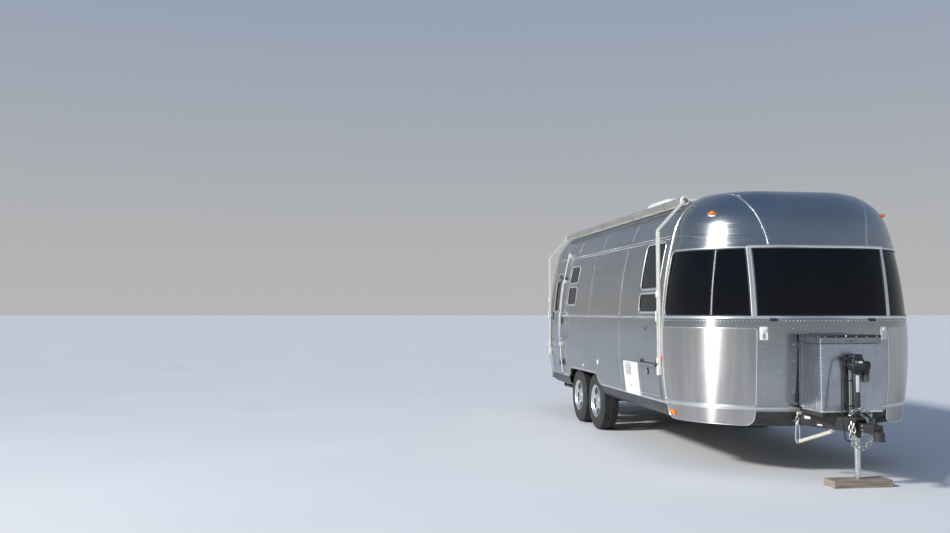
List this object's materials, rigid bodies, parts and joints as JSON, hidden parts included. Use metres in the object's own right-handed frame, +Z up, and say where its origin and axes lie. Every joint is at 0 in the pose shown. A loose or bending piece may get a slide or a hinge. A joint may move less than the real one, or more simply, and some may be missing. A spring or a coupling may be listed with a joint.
{
  "type": "travel caravan",
  "caption": "Riveted aluminium tandem-axle travel caravan with domed ends, wraparound windows, side door, gas cover, tongue jack and rolled awning, parked on its jack.",
  "frame": {"origin": "on the ground at the centre of the footprint: centre plane of the body, midway between coupler tip and rear bumper", "axes": "+X forward towards the hitch, +Y to the road side (away from the entry door), +Z up"},
  "size_m": [7.8764, 2.6128, 3.038],
  "materials": {
    "aluminium_skin": "clear-coated rolled sheet, satin with streaks",
    "dark_glass": "dark tinted safety glass",
    "stainless": "brushed stainless",
    "black_steel": "black chassis paint",
    "floor_board": "plywood",
    "block_wood": "weathered plank",
    "well_liner": "dark undercoat",
    "black_plastic": "black moulded plastic",
    "zinc_steel": "zinc-plated",
    "cable_rubber": "black cable sheath",
    "white_paint": "white enamel",
    "awning_cover": "rolled canvas in its cover",
    "bumper_paint": "grey painted steel",
    "red_lens": "red lens",
    "tyre_rubber": "tyre rubber",
    "alloy_wheel": "cast alloy, machined face"
  },
  "bodies": {
    "caravan": {"awning_arms": "white_paint", "awning_roll": "awning_cover", "axle_front": "black_steel", "axle_rear": "black_steel", "belly_pan": "aluminium_skin", "chassis_frame": "black_steel", "cord_gland": "black_plastic", "cord_plug": "black_plastic", "coupler": "black_steel", "end_window_trim": "stainless", "floor": "floor_board", "front_lower_panel": "aluminium_skin", "front_upper_panel": "aluminium_skin", "front_windows": "dark_glass", "gas_bottle_cover": "aluminium_skin", "gas_tray": "black_steel", "jack_block": "block_wood", "jack_housing": "black_plastic", "rear_bumper": "bumper_paint", "rear_lower_panel": "aluminium_skin", "rear_upper_panel": "aluminium_skin", "rear_windows": "dark_glass", "rock_guards": "stainless", "roof": "aluminium_skin", "roof_air_conditioner": "white_paint", "roof_vents": "white_paint", "safety_chains": "zinc_steel", "side_wall_hinges": "aluminium_skin", "side_wall_left": "aluminium_skin", "side_wall_right": "aluminium_skin", "side_window_frames": "aluminium_skin", "side_windows": "dark_glass", "spring_bars": "zinc_steel", "tail_lamps": "red_lens", "tongue": "black_steel", "trailer_cord": "cable_rubber", "underside_brackets": "black_steel", "utility_panels": "white_paint", "wall_trim": "stainless", "wheel_wells": "well_liner"},
    "wheel_front_right": {"tyre_front_right": "tyre_rubber", "wheel_front_right": "alloy_wheel"},
    "wheel_front_left": {"tyre_front_left": "tyre_rubber", "wheel_front_left": "alloy_wheel"},
    "wheel_rear_right": {"tyre_rear_right": "tyre_rubber", "wheel_rear_right": "alloy_wheel"},
    "wheel_rear_left": {"tyre_rear_left": "tyre_rubber", "wheel_rear_left": "alloy_wheel"},
    "door": {"entry_door": "aluminium_skin", "entry_door_window": "dark_glass"},
    "hatch": {"access_hatch": "aluminium_skin"},
    "gas_lid": {"gas_cover_lid": "aluminium_skin"},
    "jack_leg": {"jack_leg": "zinc_steel"},
    "step": {"entry_step": "black_steel"},
    "steady_front_right": {"steady_front_right": "black_steel"},
    "steady_front_left": {"steady_front_left": "black_steel"},
    "steady_rear_right": {"steady_rear_right": "black_steel"},
    "steady_rear_left": {"steady_rear_left": "black_steel"}
  },
  "joints": [
    {"name": "wheel_front_right_spin", "type": "hinge", "parent": "caravan", "child": "wheel_front_right", "pos_m": [-0.678, -1.0995, 0.3715], "axis": [0, 1, 0], "continuous": true},
    {"name": "wheel_front_left_spin", "type": "hinge", "parent": "caravan", "child": "wheel_front_left", "pos_m": [-0.678, 1.0995, 0.3715], "axis": [0, 1, 0], "continuous": true},
    {"name": "wheel_rear_right_spin", "type": "hinge", "parent": "caravan", "child": "wheel_rear_right", "pos_m": [-1.542, -1.0995, 0.3715], "axis": [0, 1, 0], "continuous": true},
    {"name": "wheel_rear_left_spin", "type": "hinge", "parent": "caravan", "child": "wheel_rear_left", "pos_m": [-1.542, 1.0995, 0.3715], "axis": [0, 1, 0], "continuous": true},
    {"name": "entry_door_swing", "type": "hinge", "parent": "caravan", "child": "door", "pos_m": [-2.266, -1.307, 1.42], "axis": [0, 0, 1], "range_deg": [0, 110]},
    {"name": "access_hatch_lift", "type": "hinge", "parent": "caravan", "child": "hatch", "pos_m": [1.675, -1.299, 0.997], "axis": [-1, 0, 0], "range_deg": [0, 90]},
    {"name": "gas_lid_tip", "type": "hinge", "parent": "caravan", "child": "gas_lid", "pos_m": [3.08, 0, 1.346], "axis": [0, -1, 0], "range_deg": [0, 75]},
    {"name": "jack_extend", "type": "slide", "parent": "caravan", "child": "jack_leg", "axis": [0, 0, 1], "range_m": [0, 0.3]},
    {"name": "entry_step_fold", "type": "hinge", "parent": "caravan", "child": "step", "pos_m": [-2.55, -1.075, 0.415], "axis": [-1, 0, 0], "range_deg": [0, 175]},
    {"name": "steady_front_right_swing", "type": "hinge", "parent": "caravan", "child": "steady_front_right", "pos_m": [2.12, -0.735, 0.418], "axis": [0, -1, 0], "range_deg": [0, 60]},
    {"name": "steady_front_left_swing", "type": "hinge", "parent": "caravan", "child": "steady_front_left", "pos_m": [2.12, 0.735, 0.418], "axis": [0, -1, 0], "range_deg": [0, 60]},
    {"name": "steady_rear_right_swing", "type": "hinge", "parent": "caravan", "child": "steady_rear_right", "pos_m": [-3.18, -0.735, 0.418], "axis": [0, 1, 0], "range_deg": [0, 60]},
    {"name": "steady_rear_left_swing", "type": "hinge", "parent": "caravan", "child": "steady_rear_left", "pos_m": [-3.18, 0.735, 0.418], "axis": [0, 1, 0], "range_deg": [0, 60]}
  ]
}
